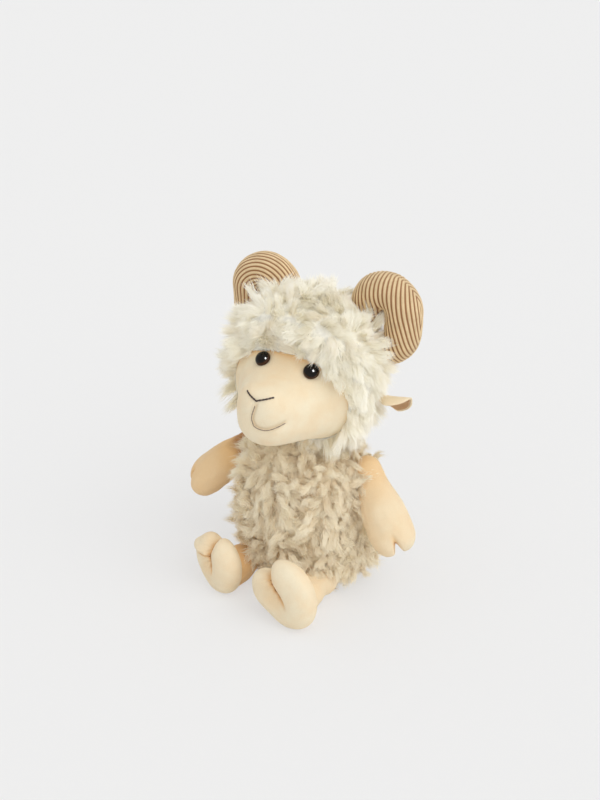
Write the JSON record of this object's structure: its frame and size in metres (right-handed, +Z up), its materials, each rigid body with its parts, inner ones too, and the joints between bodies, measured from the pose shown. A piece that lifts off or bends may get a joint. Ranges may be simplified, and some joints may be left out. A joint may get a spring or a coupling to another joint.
{
  "type": "plush sheep",
  "caption": "Sitting stuffed sheep with curly fleece, curled corduroy horns, a stitched face and swinging arms and legs",
  "frame": {"origin": "centre of the flat seat, where the body rests on the floor", "axes": "+Z up, -Y the way the body faces, +X towards the sheep's own left"},
  "size_m": [0.1785, 0.1259, 0.226],
  "materials": {
    "body_fleece": "curly fleece",
    "head_fleece": "shaggy fleece",
    "cream_velour": "short pile",
    "ear_lining": "short pile",
    "striped_corduroy": "ribbed",
    "eye_plastic": "glossy",
    "washer_plastic": "matte",
    "nose_thread": "twisted thread",
    "mouth_thread": "twisted thread",
    "polyester_fibre": "loose fibre",
    "pouch_cloth": "woven"
  },
  "bodies": {
    "torso": {"torso_fleece": "body_fleece", "torso_stuffing": "polyester_fibre", "pellet_pouch": "pouch_cloth"},
    "neck": {"neck_stuffing": "polyester_fibre"},
    "head": {"head_stuffing": "polyester_fibre", "fleece_hood": "head_fleece", "face_panel": "cream_velour", "eye_left": "eye_plastic", "eye_right": "eye_plastic", "eye_washer_left": "washer_plastic", "eye_washer_right": "washer_plastic", "nose_stitches": "nose_thread", "lip_stitches": "mouth_thread", "smile_stitches": "mouth_thread", "horn_left": "striped_corduroy", "horn_right": "striped_corduroy", "horn_stuffing_left": "polyester_fibre", "horn_stuffing_right": "polyester_fibre"},
    "ear_left": {"ear_left": "cream_velour", "ear_lining_left": "ear_lining"},
    "arm_left": {"arm_left": "cream_velour", "arm_stuffing_left": "polyester_fibre"},
    "leg_left": {"leg_left": "cream_velour", "leg_stuffing_left": "polyester_fibre", "foot_left": "cream_velour", "foot_stuffing_left": "polyester_fibre"},
    "ear_right": {"ear_right": "cream_velour", "ear_lining_right": "ear_lining"},
    "arm_right": {"arm_right": "cream_velour", "arm_stuffing_right": "polyester_fibre"},
    "leg_right": {"leg_right": "cream_velour", "leg_stuffing_right": "polyester_fibre", "foot_right": "cream_velour", "foot_stuffing_right": "polyester_fibre"}
  },
  "joints": [
    {"name": "neck_turn", "type": "hinge", "parent": "torso", "child": "neck", "pos_m": [0, -0.008, 0.106], "axis": [0, 0, 1], "range_deg": [-40, 40], "stiffness_Nm_per_rad": 0.3},
    {"name": "head_nod", "type": "hinge", "parent": "neck", "child": "head", "pos_m": [0, -0.008, 0.106], "axis": [0.9925, 0.1219, 0], "range_deg": [-20, 20], "stiffness_Nm_per_rad": 0.6},
    {"name": "shoulder_left", "type": "hinge", "parent": "torso", "child": "arm_left", "pos_m": [0.0445, 0.0005, 0.0915], "axis": [-1, 0, 0], "range_deg": [-25, 70], "stiffness_Nm_per_rad": 0.06},
    {"name": "shoulder_right", "type": "hinge", "parent": "torso", "child": "arm_right", "pos_m": [-0.0445, -0.008, 0.0885], "axis": [-1, 0, 0], "range_deg": [-25, 70], "stiffness_Nm_per_rad": 0.06},
    {"name": "hip_left", "type": "hinge", "parent": "torso", "child": "leg_left", "pos_m": [0.029, -0.031, 0.0125], "axis": [-1, 0, 0], "range_deg": [-45, 15], "stiffness_Nm_per_rad": 0.06},
    {"name": "hip_right", "type": "hinge", "parent": "torso", "child": "leg_right", "pos_m": [-0.029, -0.031, 0.0125], "axis": [-1, 0, 0], "range_deg": [-45, 15], "stiffness_Nm_per_rad": 0.06},
    {"name": "ear_flop_left", "type": "hinge", "parent": "head", "child": "ear_left", "pos_m": [0.04767, 0.00994, 0.145], "axis": [-0.1219, 0.9925, 0], "range_deg": [-20, 20], "stiffness_Nm_per_rad": 0.01},
    {"name": "ear_flop_right", "type": "hinge", "parent": "head", "child": "ear_right", "pos_m": [-0.05059, -0.00212, 0.145], "axis": [0.1219, -0.9925, 0], "range_deg": [-20, 20], "stiffness_Nm_per_rad": 0.01}
  ]
}
